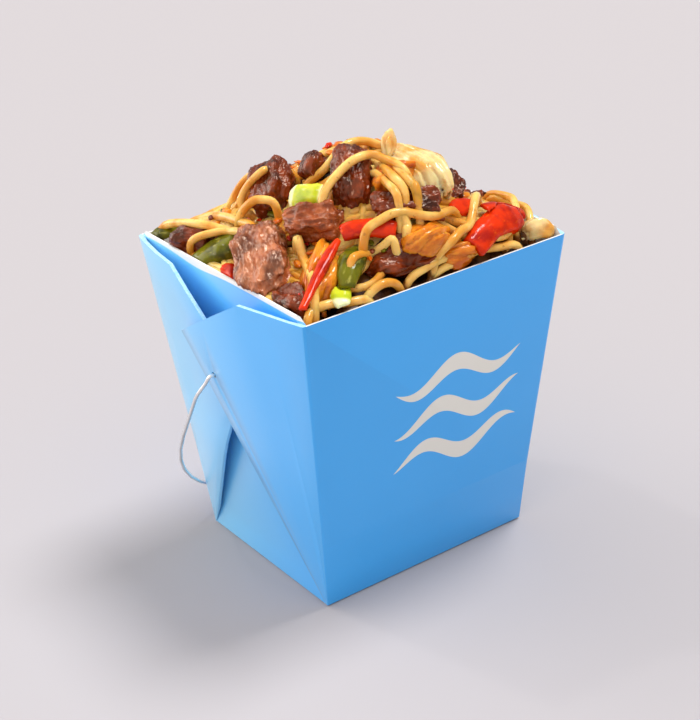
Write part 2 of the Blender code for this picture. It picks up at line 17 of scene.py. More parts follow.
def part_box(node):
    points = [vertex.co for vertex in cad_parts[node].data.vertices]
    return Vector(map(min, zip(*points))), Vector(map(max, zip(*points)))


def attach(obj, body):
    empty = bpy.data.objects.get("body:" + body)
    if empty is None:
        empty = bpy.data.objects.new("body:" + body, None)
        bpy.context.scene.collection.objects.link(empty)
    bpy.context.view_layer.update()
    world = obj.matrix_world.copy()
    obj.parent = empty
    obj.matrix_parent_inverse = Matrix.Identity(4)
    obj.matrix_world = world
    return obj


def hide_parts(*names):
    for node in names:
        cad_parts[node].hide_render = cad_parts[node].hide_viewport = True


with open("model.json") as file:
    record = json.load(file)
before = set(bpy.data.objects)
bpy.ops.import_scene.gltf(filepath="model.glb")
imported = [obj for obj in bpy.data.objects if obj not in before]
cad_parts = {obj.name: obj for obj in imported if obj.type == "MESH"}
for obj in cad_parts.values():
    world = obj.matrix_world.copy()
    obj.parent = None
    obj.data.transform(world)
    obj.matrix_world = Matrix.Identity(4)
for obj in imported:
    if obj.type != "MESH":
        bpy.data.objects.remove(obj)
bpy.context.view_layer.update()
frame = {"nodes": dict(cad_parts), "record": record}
nodes = frame["nodes"]
MM = 0.001

# %% [markdown]
# ## Small helpers
# Operators act on whatever is selected, and the loaded nodes are selected. So each step first
# deselects everything and then picks one object. A copy of a loaded node is loose triangles:
# its doubled points are merged before any modifier is used on it.

# %% Selecting, copying and finishing meshes
WELD = 0.002 * MM


def only(obj):
    """Select obj alone and make it active."""
    bpy.ops.object.select_all(action="DESELECT")
    obj.select_set(True)
    bpy.context.view_layer.objects.active = obj


def merged_copy(node, name):
    """A copy of an exact node as a new object, with its triangles joined up."""
    source = nodes[node]
    piece = bpy.data.objects.new(name, source.data.copy())
    bpy.context.scene.collection.objects.link(piece)
    piece.data.materials.clear()
    only(piece)
    bpy.ops.object.mode_set(mode="EDIT")
    bpy.ops.mesh.select_all(action="SELECT")
    bpy.ops.mesh.remove_doubles(threshold=WELD)
    bpy.ops.object.mode_set(mode="OBJECT")
    return piece


def apply_modifier(piece, kind, **settings):
    """Add one modifier with the given settings and apply it."""
    only(piece)
    modifier = piece.modifiers.new(kind.lower(), kind)
    for key, value in settings.items():
        setattr(modifier, key, value)
    bpy.ops.object.modifier_apply(modifier=modifier.name)


def finish_piece(piece, body, material):
    """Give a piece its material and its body."""
    piece.data.materials.clear()
    piece.data.materials.append(material)
    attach(piece, body)


# %% [markdown]
# ## Camera, light and floor
# The camera looks down on the near left corner of the box, so that its folded side and its plain
# front both show. A wide sun stands high on the right and lays a soft shadow to the left. A weak
# narrow one behind puts small glints on the wet food. Lamps alone would leave the coated board
# and the sauce nothing to mirror, so the studio is a world shader with grey walls, two broad
# fills, a low bright card and a softbox. That costs less than modelling them as real panels.

# %% Camera
CAMERA_TURN, CAMERA_RISE, CAMERA_ROLL = -34.2, 26.6, -3.8
CAMERA_AIM = Vector((0.0003, 0.0038, 0.0577))
CAMERA_DISTANCE, CAMERA_LENS = 0.538, 84.9


def camera_matrix():
    """Where the camera stands and how it is turned."""
    turn, rise, roll = (math.radians(a) for a in (CAMERA_TURN, CAMERA_RISE, CAMERA_ROLL))
    back = Vector((math.sin(turn) * math.cos(rise), -math.cos(turn) * math.cos(rise), math.sin(rise)))
    right = (-back).cross(Vector((0, 0, 1))).normalized()
    up = right.cross(-back)
    right, up = (right * math.cos(roll) + up * math.sin(roll),
                 up * math.cos(roll) - right * math.sin(roll))
    axes = Matrix((right, up, back)).transposed().to_4x4()
    return Matrix.Translation(CAMERA_AIM + back * CAMERA_DISTANCE) @ axes


camera = bpy.data.objects.new("camera", bpy.data.cameras.new("camera"))
camera.data.lens = CAMERA_LENS
camera.matrix_world = camera_matrix()
bpy.context.scene.collection.objects.link(camera)
bpy.context.scene.camera = camera
bpy.context.scene.view_settings.view_transform = "Standard"
print("camera at", [round(c, 3) for c in camera.matrix_world.translation])


# %% Suns
def add_sun(name, towards, energy, spread, colour):
    """A sun that stands in the given direction, as wide across as its spread in degrees."""
    lamp = bpy.data.lights.new(name, "SUN")
    lamp.energy = energy
    lamp.color = colour
    lamp.angle = math.radians(spread)
    obj = bpy.data.objects.new(name, lamp)
    obj.rotation_euler = Vector(towards).to_track_quat("Z", "Y").to_euler()
    bpy.context.scene.collection.objects.link(obj)


add_sun("key_right", (0.74, -0.06, 1.70), energy=2.72, spread=22, colour=(0.97, 0.985, 1.0))
add_sun("sparkle_back", (-0.35, 0.80, 1.20), energy=0.22, spread=3, colour=(1.0, 0.99, 0.97))
print("suns", [lamp.name for lamp in bpy.data.lights])

# %% Studio walls
WALL_GREY = 0.33
WALL_TINT = (1.0, 0.965, 0.93, 1)
# Each soft patch of light: its direction, its strength, and the cosines of the angles from its
# middle at which it starts to show and is at its full strength
PATCHES_OF_LIGHT = (
    (Vector((-0.80, 0.30, 0.30)), 0.68, 0.10, 0.90),   # Broad fill for the folded side
    (Vector((-0.20, -0.80, 0.62)), 0.54, 0.30, 0.95),  # Broad fill for the front
    (Vector((-0.55, 0.80, 0.10)), 3.40, 0.84, 0.97),   # Low bright card behind
    (Vector((-0.05, 0.80, 0.62)), 1.10, 0.91, 0.97),   # Softbox behind
)


def studio_world():
    """A grey studio with soft patches of light, which add up."""
    studio = bpy.data.worlds.new("studio")
    studio.use_nodes = True
    links, shapes = studio.node_tree.links, studio.node_tree.nodes
    towards = shapes.new("ShaderNodeTexCoord").outputs["Generated"]
    total = None
    for middle, strength, edge, full in PATCHES_OF_LIGHT:
        facing = shapes.new("ShaderNodeVectorMath")
        facing.operation = "DOT_PRODUCT"
        facing.inputs[1].default_value = middle.normalized()
        links.new(towards, facing.inputs[0])
        ramp = shapes.new("ShaderNodeMapRange")
        ramp.interpolation_type = "SMOOTHSTEP"
        for socket, value in (("From Min", edge), ("From Max", full), ("To Max", strength)):
            ramp.inputs[socket].default_value = value
        links.new(facing.outputs["Value"], ramp.inputs["Value"])
        adding = shapes.new("ShaderNodeMath")
        links.new(ramp.outputs["Result"], adding.inputs[0])
        adding.inputs[1].default_value = WALL_GREY
        if total is not None:
            links.new(total, adding.inputs[1])
        total = adding.outputs[0]
    background = shapes["Background"]
    background.inputs["Color"].default_value = WALL_TINT
    links.new(total, background.inputs["Strength"])
    return studio


bpy.context.scene.world = studio_world()
print("patches of light", len(PATCHES_OF_LIGHT))

# %% Floor
FLOOR_SIZE = 8.0
FLOOR_FINISH = {"Base Color": (0.436, 0.410, 0.423, 1), "Roughness": 0.9, "Specular IOR Level": 0.0}
bpy.ops.mesh.primitive_plane_add(size=FLOOR_SIZE, location=(0, 0, 0))
floor = bpy.context.object
floor.name = "floor"
floor_paper = bpy.data.materials.new("floor_paper")
floor_paper.use_nodes = True
for socket, value in FLOOR_FINISH.items():
    floor_paper.node_tree.nodes["Principled BSDF"].inputs[socket].default_value = value
floor.data.materials.append(floor_paper)
print("floor", FLOOR_SIZE, "m across")

# %% [markdown]
# ## Shader parts
# Every finish here is mottled in its own way: sauce on noodles, searing on meat, fibres in
# board. Each could have its own tree of noise nodes. Instead, two node groups make the mottling
# and the fine bumps, and every material uses them with its own values. Constants such as the
# coat and the index of refraction sit on the shader itself.

# %% Node helpers
def add_node(tree, kind, values=None, **settings):
    """A node with its settings made and its inputs set to values or linked to sockets."""
    node = tree.nodes.new(kind)
    for key, value in settings.items():
        setattr(node, key, value)
    for key, value in (values or {}).items():
        if isinstance(value, bpy.types.NodeSocket):
            tree.links.new(value, node.inputs[key])
        else:
            node.inputs[key].default_value = value
    return node


def maths(tree, operation, *values):
    """The output of a Math node."""
    return add_node(tree, "ShaderNodeMath", dict(enumerate(values)), operation=operation).outputs[0]


def mixed(tree, factor, first, second):
    """The colour that lies between two colours by factor."""
    node = tree.nodes.new("ShaderNodeMix")
    node.data_type = "RGBA"
    for index, value in ((0, factor), (6, first), (7, second)):
        if isinstance(value, bpy.types.NodeSocket):
            tree.links.new(value, node.inputs[index])
        else:
            node.inputs[index].default_value = value
    return node.outputs[2]


def rgb(red, green, blue):
    """An opaque colour."""
    return (red, green, blue, 1.0)


def smooth_step(tree, value, low, high):
    """0 below low, 1 above high, and a soft ramp between them."""
    return add_node(tree, "ShaderNodeMapRange", {"Value": value, "From Min": low, "From Max": high},
                    interpolation_type="SMOOTHSTEP").outputs["Result"]


# %% Shared node groups
def new_group(name, inputs, output):
    """An empty node group, its input node and its output node."""
    group = bpy.data.node_groups.new(name, "ShaderNodeTree")
    for socket, kind in inputs:
        group.interface.new_socket(socket, in_out="INPUT", socket_type=kind)
    group.interface.new_socket(output[0], in_out="OUTPUT", socket_type=output[1])
    return group, group.nodes.new("NodeGroupInput"), group.nodes.new("NodeGroupOutput")


def make_patches():
    """Soft-edged noise patches between two noise levels."""
    group, given, result = new_group(
        "patches", (("Vector", "NodeSocketVector"), ("Scale", "NodeSocketFloat"),
                    ("Low", "NodeSocketFloat"), ("High", "NodeSocketFloat")), ("Mask", "NodeSocketFloat"))
    cloud = add_node(group, "ShaderNodeTexNoise",
                     {"Vector": given.outputs["Vector"], "Scale": given.outputs["Scale"], "Detail": 4.0})
    mask = smooth_step(group, cloud.outputs["Fac"], given.outputs["Low"], given.outputs["High"])
    group.links.new(mask, result.inputs["Mask"])
    return group


def make_grain():
    """Small bumps on a surface, as a normal."""
    group, given, result = new_group(
        "grain", (("Vector", "NodeSocketVector"), ("Scale", "NodeSocketFloat"),
                  ("Height", "NodeSocketFloat")), ("Normal", "NodeSocketVector"))
    cloud = add_node(group, "ShaderNodeTexNoise",
                     {"Vector": given.outputs["Vector"], "Scale": given.outputs["Scale"], "Detail": 5.0})
    bump = add_node(group, "ShaderNodeBump",
                    {"Height": cloud.outputs["Fac"], "Distance": given.outputs["Height"], "Strength": 1.0})
    group.links.new(bump.outputs["Normal"], result.inputs["Normal"])
    return group


PATCHES, GRAIN = make_patches(), make_grain()


def patches(tree, vector, scale, low, high):
    """The mask of the shared patches group."""
    node = add_node(tree, "ShaderNodeGroup", node_tree=PATCHES)
    tree.links.new(vector, node.inputs["Vector"])
    for key, value in (("Scale", scale), ("Low", low), ("High", high)):
        node.inputs[key].default_value = value
    return node.outputs["Mask"]


def grain(tree, vector, scale, height):
    """The normal of the shared grain group."""
    node = add_node(tree, "ShaderNodeGroup", node_tree=GRAIN)
    tree.links.new(vector, node.inputs["Vector"])
    node.inputs["Scale"].default_value = scale
    node.inputs["Height"].default_value = height
    return node.outputs["Normal"]


def new_material(name, **constants):
    """A material, its tree, its shader and its Object coordinates."""
    material = bpy.data.materials.new(name)
    material.use_nodes = True
    tree = material.node_tree
    shader = tree.nodes["Principled BSDF"]
    for key, value in constants.items():
        shader.inputs[key.replace("_", " ")].default_value = value
    place = tree.nodes.new("ShaderNodeTexCoord").outputs["Object"]
    return material, tree, shader, place


print("node groups", [group.name for group in bpy.data.node_groups])

# %% [markdown]
# ## Paperboard pail
# The real pail is one sheet of coated board, printed blue outside and bare white inside, cut and
# folded, so every cut edge shows white. It could be folded up again from flat panels, but the
# exact walls are already right, so a copy of them only gets a fine bevel on its folds and cuts.
# Each face is then sorted by where it looks: out, in or up. The bands on the front and the back
# are a formula in the material, so they stay sharp from near by. On the side panels a painted
# sheen whitens the blue toward the rear, and the blue stops short of the lip.

# %% Board dimensions, from the exact model
SLACK = 0.2 * MM
RIM_BAND = 3 * MM
board = merged_copy("carton", "board_pail")
points = np.array([v.co for v in board.data.vertices])
foot = points[points[:, 2] < 0.5 * SLACK]
near_rim = float(np.median(points[points[:, 2] > points[:, 2].max() - RIM_BAND][:, 2]))
BASE_HALF = np.abs(foot[:, :2]).max(axis=0)
TOP_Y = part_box("carton")[1][1]
rim = points[(np.abs(points[:, 1]) > TOP_Y - SLACK) & (points[:, 2] > near_rim - RIM_BAND)]
TOP_HALF = np.array((np.abs(rim[:, 0]).max(), TOP_Y))
RIM_Z = float(rim[:, 2].max())
print("base", BASE_HALF / MM, "top", TOP_HALF / MM, "rim", RIM_Z / MM)


def wall_half(z):
    """Half widths of the four outer wall planes at height z."""
    return BASE_HALF + (TOP_HALF - BASE_HALF) * min(1.0, z / RIM_Z)


# %% Round the corner folds, then the rest of the edges
FOLD_ROUNDING = 0.14 * MM
CORNER_ROUNDING = 0.5 * MM
CORNER_ZONE = 2.4 * MM
LONG_FOLD = 20 * MM
LEAST_FOLD, ROUNDED_FOLD, SMOOTH_BELOW = (math.radians(a) for a in (15, 24, 28))


def is_corner_fold(edge, mesh):
    """Whether an edge runs up one of the four outer corners of the pail."""
    ends = [mesh.vertices[i].co for i in edge.vertices]
    for point in ends:
        half_x, half_y = wall_half(point.z)
        if abs(abs(point.y) - half_y) >= CORNER_ZONE or abs(point.x) <= half_x - CORNER_ZONE:
            return False
    return abs(ends[0].z - ends[1].z) > LONG_FOLD


def sharp_edges(mesh, least):
    """Indices of edges whose two faces meet at more than an angle."""
    facing = {}
    for face in mesh.polygons:
        for key in face.edge_keys:
            facing.setdefault(key, []).append(face.normal.copy())
    return {edge.index for edge in mesh.edges
            if len(facing[edge.key]) == 2 and facing[edge.key][0].angle(facing[edge.key][1]) > least}


only(board)
bpy.ops.object.mode_set(mode="EDIT")
bpy.ops.mesh.select_all(action="DESELECT")
bpy.ops.object.mode_set(mode="OBJECT")
sharp = sharp_edges(board.data, LEAST_FOLD)
for edge in board.data.edges:
    edge.select = edge.index in sharp and is_corner_fold(edge, board.data)
print("corner folds", sum(edge.select for edge in board.data.edges))
bpy.ops.object.mode_set(mode="EDIT")
bpy.ops.mesh.bevel(offset=CORNER_ROUNDING, segments=2, clamp_overlap=True)
bpy.ops.object.mode_set(mode="OBJECT")
apply_modifier(board, "BEVEL", width=FOLD_ROUNDING, segments=2, limit_method="ANGLE",
               angle_limit=ROUNDED_FOLD, use_clamp_overlap=True)
only(board)
bpy.ops.object.shade_smooth_by_angle(angle=SMOOTH_BELOW)

# %% Sort the faces by what shows there
FOLDED_SIDE, PLAIN_PANEL, BARE, WEB_CUT = range(4)
LOOKS_UP, LOOKS_ALONG_Y = 0.42, 0.9
PROBE_OUT = 0.3 * MM


def board_side(face):
    """What shows on a face of the board."""
    probe = face.center + face.normal * PROBE_OUT
    half = wall_half(probe.z)
    faces_in = face.normal.x * face.center.x + face.normal.y * face.center.y < 0
    inside = faces_in and abs(probe.x) < half[0] - SLACK and abs(probe.y) < half[1] - SLACK
    cut_edge = face.normal.z > LOOKS_UP and face.center.z > 0.5 * RIM_Z
    if cut_edge and abs(face.center.x) > half[0] + SLACK:
        return WEB_CUT
    if inside or cut_edge:
        return BARE
    if abs(face.normal.y) > LOOKS_ALONG_Y and abs(face.center.y) > half[1] - 2.5 * SLACK:
        return PLAIN_PANEL
    return FOLDED_SIDE


for face in board.data.polygons:
    face.material_index = board_side(face)
sides = [face.material_index for face in board.data.polygons]
print("folded, plain, bare and cut faces", [sides.count(i) for i in range(4)])

# %% Wavy bands and lip, as masks
WAVE_HEIGHTS = (68 * MM, 55 * MM, 42 * MM)
WAVE_MIDDLE, WAVE_REACH = 9 * MM, 24 * MM
WAVE_SWING, WAVE_LENGTH, WAVE_THICKNESS = 3.4 * MM, 31 * MM, 3.0 * MM
WAVE_SHIFT = 1.1
LIP_FROM_Z, LIP_DIP = 102.5 * MM, 1.3 * MM
LIP_DIP_Y = LIP_DIP_REACH = 12 * MM
LIP_HALF_X, LIP_HALF_Y = 47.4 * MM, 44.6 * MM
PRINT_EDGE = 0.12 * MM
LIP_EDGE = 0.3 * MM


def wave_mask(tree, across, up):
    """1 on three tapering wavy bands."""
    total = 0.0
    for turn, height in enumerate(WAVE_HEIGHTS):
        phase = maths(tree, "MULTIPLY_ADD", across, math.tau / WAVE_LENGTH, WAVE_SHIFT * turn)
        middle = maths(tree, "MULTIPLY_ADD", maths(tree, "SINE", phase), WAVE_SWING, height)
        off = maths(tree, "DIVIDE", maths(tree, "SUBTRACT", across, WAVE_MIDDLE), WAVE_REACH)
        taper = maths(tree, "SUBTRACT", 1.0, maths(tree, "MULTIPLY", off, off))
        reach = maths(tree, "MULTIPLY", taper, WAVE_THICKNESS)
        distance = maths(tree, "ABSOLUTE", maths(tree, "SUBTRACT", up, middle))
        inside = maths(tree, "SUBTRACT", reach, distance)
        total = maths(tree, "ADD", total, smooth_step(tree, inside, 0.0, PRINT_EDGE))
    return maths(tree, "MINIMUM", total, 1.0)


def lip_mask(tree, across, along, up):
    """1 on the unprinted lip at the top of the two side panels."""
    dip = maths(tree, "DIVIDE", maths(tree, "SUBTRACT", along, LIP_DIP_Y), LIP_DIP_REACH)
    bell = maths(tree, "EXPONENT", maths(tree, "MULTIPLY", maths(tree, "MULTIPLY", dip, dip), -1.0))
    edge = maths(tree, "MULTIPLY_ADD", bell, -LIP_DIP, LIP_FROM_Z)
    above = smooth_step(tree, maths(tree, "SUBTRACT", up, edge), 0.0, LIP_EDGE)
    on_panel = maths(tree, "LESS_THAN", maths(tree, "ABSOLUTE", across), LIP_HALF_X)
    off_corner = maths(tree, "LESS_THAN", maths(tree, "ABSOLUTE", along), LIP_HALF_Y)
    return maths(tree, "MULTIPLY", above, maths(tree, "MULTIPLY", on_panel, off_corner))


# %% Board materials
PRINT_BLUE = rgb(0.028, 0.41, 0.98)
PRINT_DEEP = rgb(0.022, 0.39, 0.95)
# Pale blue of the painted sheen on the side panels
PAINTED_SHEEN_BLUE = rgb(0.34, 0.80, 1.0)
BARE_WHITE = rgb(0.82, 0.81, 0.79)
WAVE_WHITE = rgb(0.80, 0.79, 0.74)
# Painted sheen on the side panels: it grows from front to rear between these places, by these amounts
SHEEN_FROM_Y, SHEEN_TO_Y = -30 * MM, 45 * MM
SHEEN_LEAST, SHEEN_MORE = 0.08, 0.53


def printed_board(name, has_waves, coat, coat_ior):
    """Glossy printed board, with the wavy bands, or with a painted sheen toward the rear under a bare lip.
    """
    material, tree, shader, place = new_material(
        name, Coat_Weight=coat, Coat_Roughness=0.25, Coat_IOR=coat_ior, IOR=1.5)
    axes = add_node(tree, "ShaderNodeSeparateXYZ", {"Vector": place}).outputs
    cloudy = patches(tree, place, 18.0, 0.35, 0.7)
    blue = mixed(tree, cloudy, PRINT_BLUE, PRINT_DEEP)
    if has_waves:
        blue = mixed(tree, wave_mask(tree, axes["X"], axes["Z"]), blue, WAVE_WHITE)
    else:
        # Painted sheen: the blue is whiter toward the rear
        rearward = smooth_step(tree, axes["Y"], SHEEN_FROM_Y, SHEEN_TO_Y)
        painted_sheen = maths(tree, "MULTIPLY_ADD", rearward, SHEEN_MORE, SHEEN_LEAST)
        blue = mixed(tree, painted_sheen, blue, PAINTED_SHEEN_BLUE)
        blue = mixed(tree, lip_mask(tree, axes["X"], axes["Y"], axes["Z"]), blue, BARE_WHITE)
    tree.links.new(blue, shader.inputs["Base Color"])
    tree.links.new(maths(tree, "MULTIPLY_ADD", cloudy, 0.08, 0.36), shader.inputs["Roughness"])
    tree.links.new(grain(tree, place, 260.0, 0.03 * MM), shader.inputs["Normal"])
    return material


def bare_board(name, light, dark):
    """Uncoated board, mottled by its fibres."""
    material, tree, shader, place = new_material(name, IOR=1.4)
    fibres = patches(tree, place, 900.0, 0.4, 0.65)
    tree.links.new(mixed(tree, fibres, light, dark), shader.inputs["Base Color"])
    tree.links.new(maths(tree, "MULTIPLY_ADD", fibres, 0.1, 0.6), shader.inputs["Roughness"])
    return material


# In the order of FOLDED_SIDE, PLAIN_PANEL, BARE and WEB_CUT
for material in (printed_board("printed_board", False, coat=1.0, coat_ior=1.8),
                 printed_board("printed_front", True, coat=0.6, coat_ior=1.6),
                 bare_board("bare_board", BARE_WHITE, rgb(0.76, 0.75, 0.73)),
                 bare_board("cut_edge", rgb(0.42, 0.68, 0.92), rgb(0.30, 0.60, 0.90))):
    board.data.materials.append(material)
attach(board, "box")
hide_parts("carton")
print("board faces", len(board.data.polygons))

# %% [markdown]
# ## Wire handle
# The handle is thin bright steel wire, bent cold. A bevelled curve could draw it again, but the
# exact wire has the right route and hooks already, so it only gets smooth shading and a metal
# with slightly duller patches. It turns with the handle body.

# %% Wire
wire = merged_copy("wire_handle", "steel_wire")
bpy.ops.object.shade_smooth_by_angle(angle=math.radians(40))
steel, tree, shader, place = new_material("steel_wire", Metallic=1.0)
dull = patches(tree, place, 120.0, 0.35, 0.7)
tree.links.new(mixed(tree, dull, rgb(0.90, 0.90, 0.90), rgb(0.80, 0.79, 0.78)), shader.inputs["Base Color"])
tree.links.new(maths(tree, "MULTIPLY_ADD", dull, 0.1, 0.28), shader.inputs["Roughness"])
finish_piece(wire, "handle", steel)
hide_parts("wire_handle")
print("wire faces", len(wire.data.polygons))

# %% [markdown]
# ## Pieces of beef, pepper and onion
# Each exact piece is a coarse lump in the right place. Sculpting 34 pieces by hand would be slow,
# so a copy of each is remeshed into fine even cells, smoothed, and pushed in and out by noise.
# The noise is stretched along the piece, as meat fibres and onion ribs are. The places along the
# piece are kept on its mesh for the material to use. Last, a few pieces are made a little
# longer, narrower or fuller than their lumps.

# %% Own coordinates of a piece
def own_axes(piece):
    """Middle of a piece and its long, middle and short directions as rows."""
    places = np.array([v.co for v in piece.data.vertices])
    middle = places.mean(axis=0)
    _, _, rows = np.linalg.svd(places - middle, full_matrices=False)
    if np.linalg.det(rows) < 0:
        rows[2] = -rows[2]
    if rows[2][2] < 0:
        rows[1:] = -rows[1:]
    return middle, rows


def keep_own_places(piece, middle, rows):
    """Store each point's place along the piece's own directions, in metres."""
    places = (np.array([v.co for v in piece.data.vertices]) - middle) @ rows.T
    stored = piece.data.attributes.new("own", "FLOAT_VECTOR", "POINT")
    stored.data.foreach_set("vector", places.astype(np.float32).ravel())
    return places


def push(piece, amounts):
    """Move each point along its normal by its amount."""
    normals = [v.normal.copy() for v in piece.data.vertices]
    for vertex, normal, amount in zip(piece.data.vertices, normals, amounts):
        vertex.co += normal * float(amount)


def fine_copy(node, name, cell, rounds):
    """A copy of a node in even cells, smoothed, lying a little inside the exact piece."""
    piece = merged_copy(node, name)
    middle, rows = own_axes(piece)
    apply_modifier(piece, "REMESH", mode="VOXEL", voxel_size=cell, use_smooth_shade=True)
    apply_modifier(piece, "SMOOTH", factor=0.6, iterations=rounds)
    return piece, keep_own_places(piece, middle, rows)


def rough(place, stretch, scale, seed):
    """Noise from -1 to 1 at a place in the piece's own coordinates, stretched along it."""
    drawn_out = Vector((place[0] / stretch + seed, place[1], place[2]))
    return noise.noise(drawn_out * scale + Vector((seed * 7.3, 0, 0)))


# %% Beef
MEAT_CELL = 0.45 * MM


def make_beef(node, seed):
    """Torn meat: coarse facets, then fibres and fine wrinkles along the piece."""
    piece, places = fine_copy(node, node + "_meat", MEAT_CELL, rounds=6)
    amounts = [1.2 * MM * rough(p, 1.2, 150, seed)
               + 0.9 * MM * rough(p, 1.8, 330, seed + 5)
               - 1.1 * MM * abs(rough(p, 2.4, 560, seed + 9))
               - 0.45 * MM * abs(rough(p, 1.5, 1300, seed + 13)) for p in places]
    push(piece, amounts)
    return piece


# %% Pepper
PLANT_CELL = 0.5 * MM


def make_pepper(node, seed):
    """Cut pepper: smooth waxy skin with shallow dents."""
    piece, places = fine_copy(node, node + "_slice", PLANT_CELL, rounds=8)
    amounts = [0.35 * MM * rough(p, 2.0, 220, seed)
               + 0.08 * MM * rough(p, 2.0, 900, seed + 3) for p in places]
    push(piece, amounts)
    return piece


# %% Onion
LEAF_THICKNESS, LEAF_GAP = 3.1 * MM, 0.13
RIB_SPACING = 1.7 * MM


def make_onion(node, seed):
    """Cooked onion: soft leaves with shallow ribs along them."""
    piece, places = fine_copy(node, node + "_leaf", PLANT_CELL, rounds=7)
    amounts = []
    for p in places:
        drift = rough(p, 2.0, 160, seed)
        ribs = math.cos(math.tau * p[1] / RIB_SPACING + 2.2 * drift)
        layer = ((p[1] + 0.35 * p[2] + 2.2 * MM * drift) / LEAF_THICKNESS) % 1.0
        gap = math.exp(-(min(layer, 1 - layer) / LEAF_GAP) ** 2)
        amounts.append(0.70 * MM * drift + 0.12 * MM * ribs + 0.5 * MM * layer - 0.6 * MM * gap)
    push(piece, amounts)
    return piece


# %% [markdown]
# ## Glaze on the food
# All the pieces are wet with the same dark sauce, and light goes a little way into them. A
# painted picture could show that, but it wouldn't fit lumps made by noise. So each kind has one
# material of two or three mottled colours that follow the piece's own length, a thin coat for
# the wet film and some subsurface light.

# %% Coordinates along a piece
def own_vector(tree, stretch):
    """The piece's own coordinates, drawn out along the piece."""
    own = add_node(tree, "ShaderNodeAttribute", attribute_name="own").outputs["Vector"]
    return add_node(tree, "ShaderNodeVectorMath", {0: own, 1: (1 / stretch, 1.0, 1.0)},
                    operation="MULTIPLY").outputs["Vector"]


# %% Beef finish
def beef_material(name, dark, light, burnt, gloss=0.5):
    """Seared meat under a brown glaze, with pale specks of fat along its fibres."""
    material, tree, shader, place = new_material(
        name, IOR=1.45, Coat_Weight=0.2, Coat_Roughness=0.06, Specular_IOR_Level=gloss,
        Specular_Tint=rgb(1.0, 0.70, 0.48), Subsurface_Weight=0.08, Subsurface_Scale=1.5 * MM,
        Subsurface_Radius=(1.0, 0.35, 0.2))
    along = own_vector(tree, 2.2)
    fibres = patches(tree, along, 520.0, 0.30, 0.75)
    seared = patches(tree, place, 170.0, 0.44, 0.70)
    meat = mixed(tree, fibres, dark, light)
    meat = mixed(tree, seared, meat, burnt)
    fat = patches(tree, along, 600.0, 0.63, 0.72)
    meat = mixed(tree, maths(tree, "MULTIPLY", fat, 0.6), meat, rgb(0.62, 0.33, 0.22))
    tree.links.new(meat, shader.inputs["Base Color"])
    tree.links.new(maths(tree, "MULTIPLY_ADD", fibres, 0.14, 0.13), shader.inputs["Roughness"])
    wrinkles = grain(tree, along, 500.0, 0.9 * MM)
    tree.links.new(wrinkles, shader.inputs["Normal"])
    tree.links.new(wrinkles, shader.inputs["Coat Normal"])
    return material


# %% Pepper and leek finish
NO_PALE_ENDS = 1.0  # Farther out than any piece reaches
END_RAMP = 1.2 * MM


def pepper_material(name, skin, deep, pale, ends_from=NO_PALE_ENDS):
    """Waxy skin, deeper in patches, paler in streaks and past a distance along the piece."""
    material, tree, shader, place = new_material(
        name, IOR=1.45, Coat_Weight=0.35, Coat_Roughness=0.05, Specular_IOR_Level=0.05,
        Subsurface_Weight=0.2, Subsurface_Scale=2.0 * MM, Subsurface_Radius=(1.0, 0.4, 0.15))
    along = own_vector(tree, 3.0)
    blotches = patches(tree, place, 190.0, 0.40, 0.66)
    streaks = patches(tree, along, 700.0, 0.56, 0.75)
    colour = mixed(tree, blotches, skin, deep)
    colour = mixed(tree, maths(tree, "MULTIPLY", streaks, 0.6), colour, pale)
    length = add_node(tree, "ShaderNodeSeparateXYZ", {"Vector": own_vector(tree, 1.0)}).outputs["X"]
    ends = smooth_step(tree, maths(tree, "ABSOLUTE", length), ends_from, ends_from + END_RAMP)
    colour = mixed(tree, ends, colour, pale)
    tree.links.new(colour, shader.inputs["Base Color"])
    tree.links.new(maths(tree, "MULTIPLY_ADD", blotches, 0.12, 0.22), shader.inputs["Roughness"])
    tree.links.new(grain(tree, along, 600.0, 0.12 * MM), shader.inputs["Normal"])
    return material


# %% Onion finish
def onion_material(name, pale, stained, vein):
    """Soft translucent onion stained amber by the sauce, with darker veins along it."""
    material, tree, shader, place = new_material(
        name, IOR=1.42, Coat_Weight=0.6, Coat_Roughness=0.06, Specular_IOR_Level=0.08,
        Subsurface_Weight=0.55, Subsurface_Scale=4.0 * MM, Subsurface_Radius=(1.0, 0.55, 0.22))
    along = own_vector(tree, 6.0)
    veins = patches(tree, along, 900.0, 0.50, 0.70)
    stains = patches(tree, place, 120.0, 0.42, 0.64)
    colour = mixed(tree, stains, pale, stained)
    colour = mixed(tree, maths(tree, "MULTIPLY", veins, 0.5), colour, vein)
    tree.links.new(colour, shader.inputs["Base Color"])
    tree.links.new(maths(tree, "MULTIPLY_ADD", stains, 0.12, 0.16), shader.inputs["Roughness"])
    tree.links.new(grain(tree, along, 800.0, 0.15 * MM), shader.inputs["Normal"])
    return material


# %% Mix the colours
DARK_BEEF = beef_material(
    "beef", rgb(0.11, 0.010, 0.001), rgb(0.27, 0.040, 0.006), rgb(0.035, 0.004, 0.001))
TENDER_BEEF = beef_material(
    "tender_beef", rgb(0.20, 0.030, 0.005), rgb(0.46, 0.11, 0.028), rgb(0.075, 0.009, 0.001))
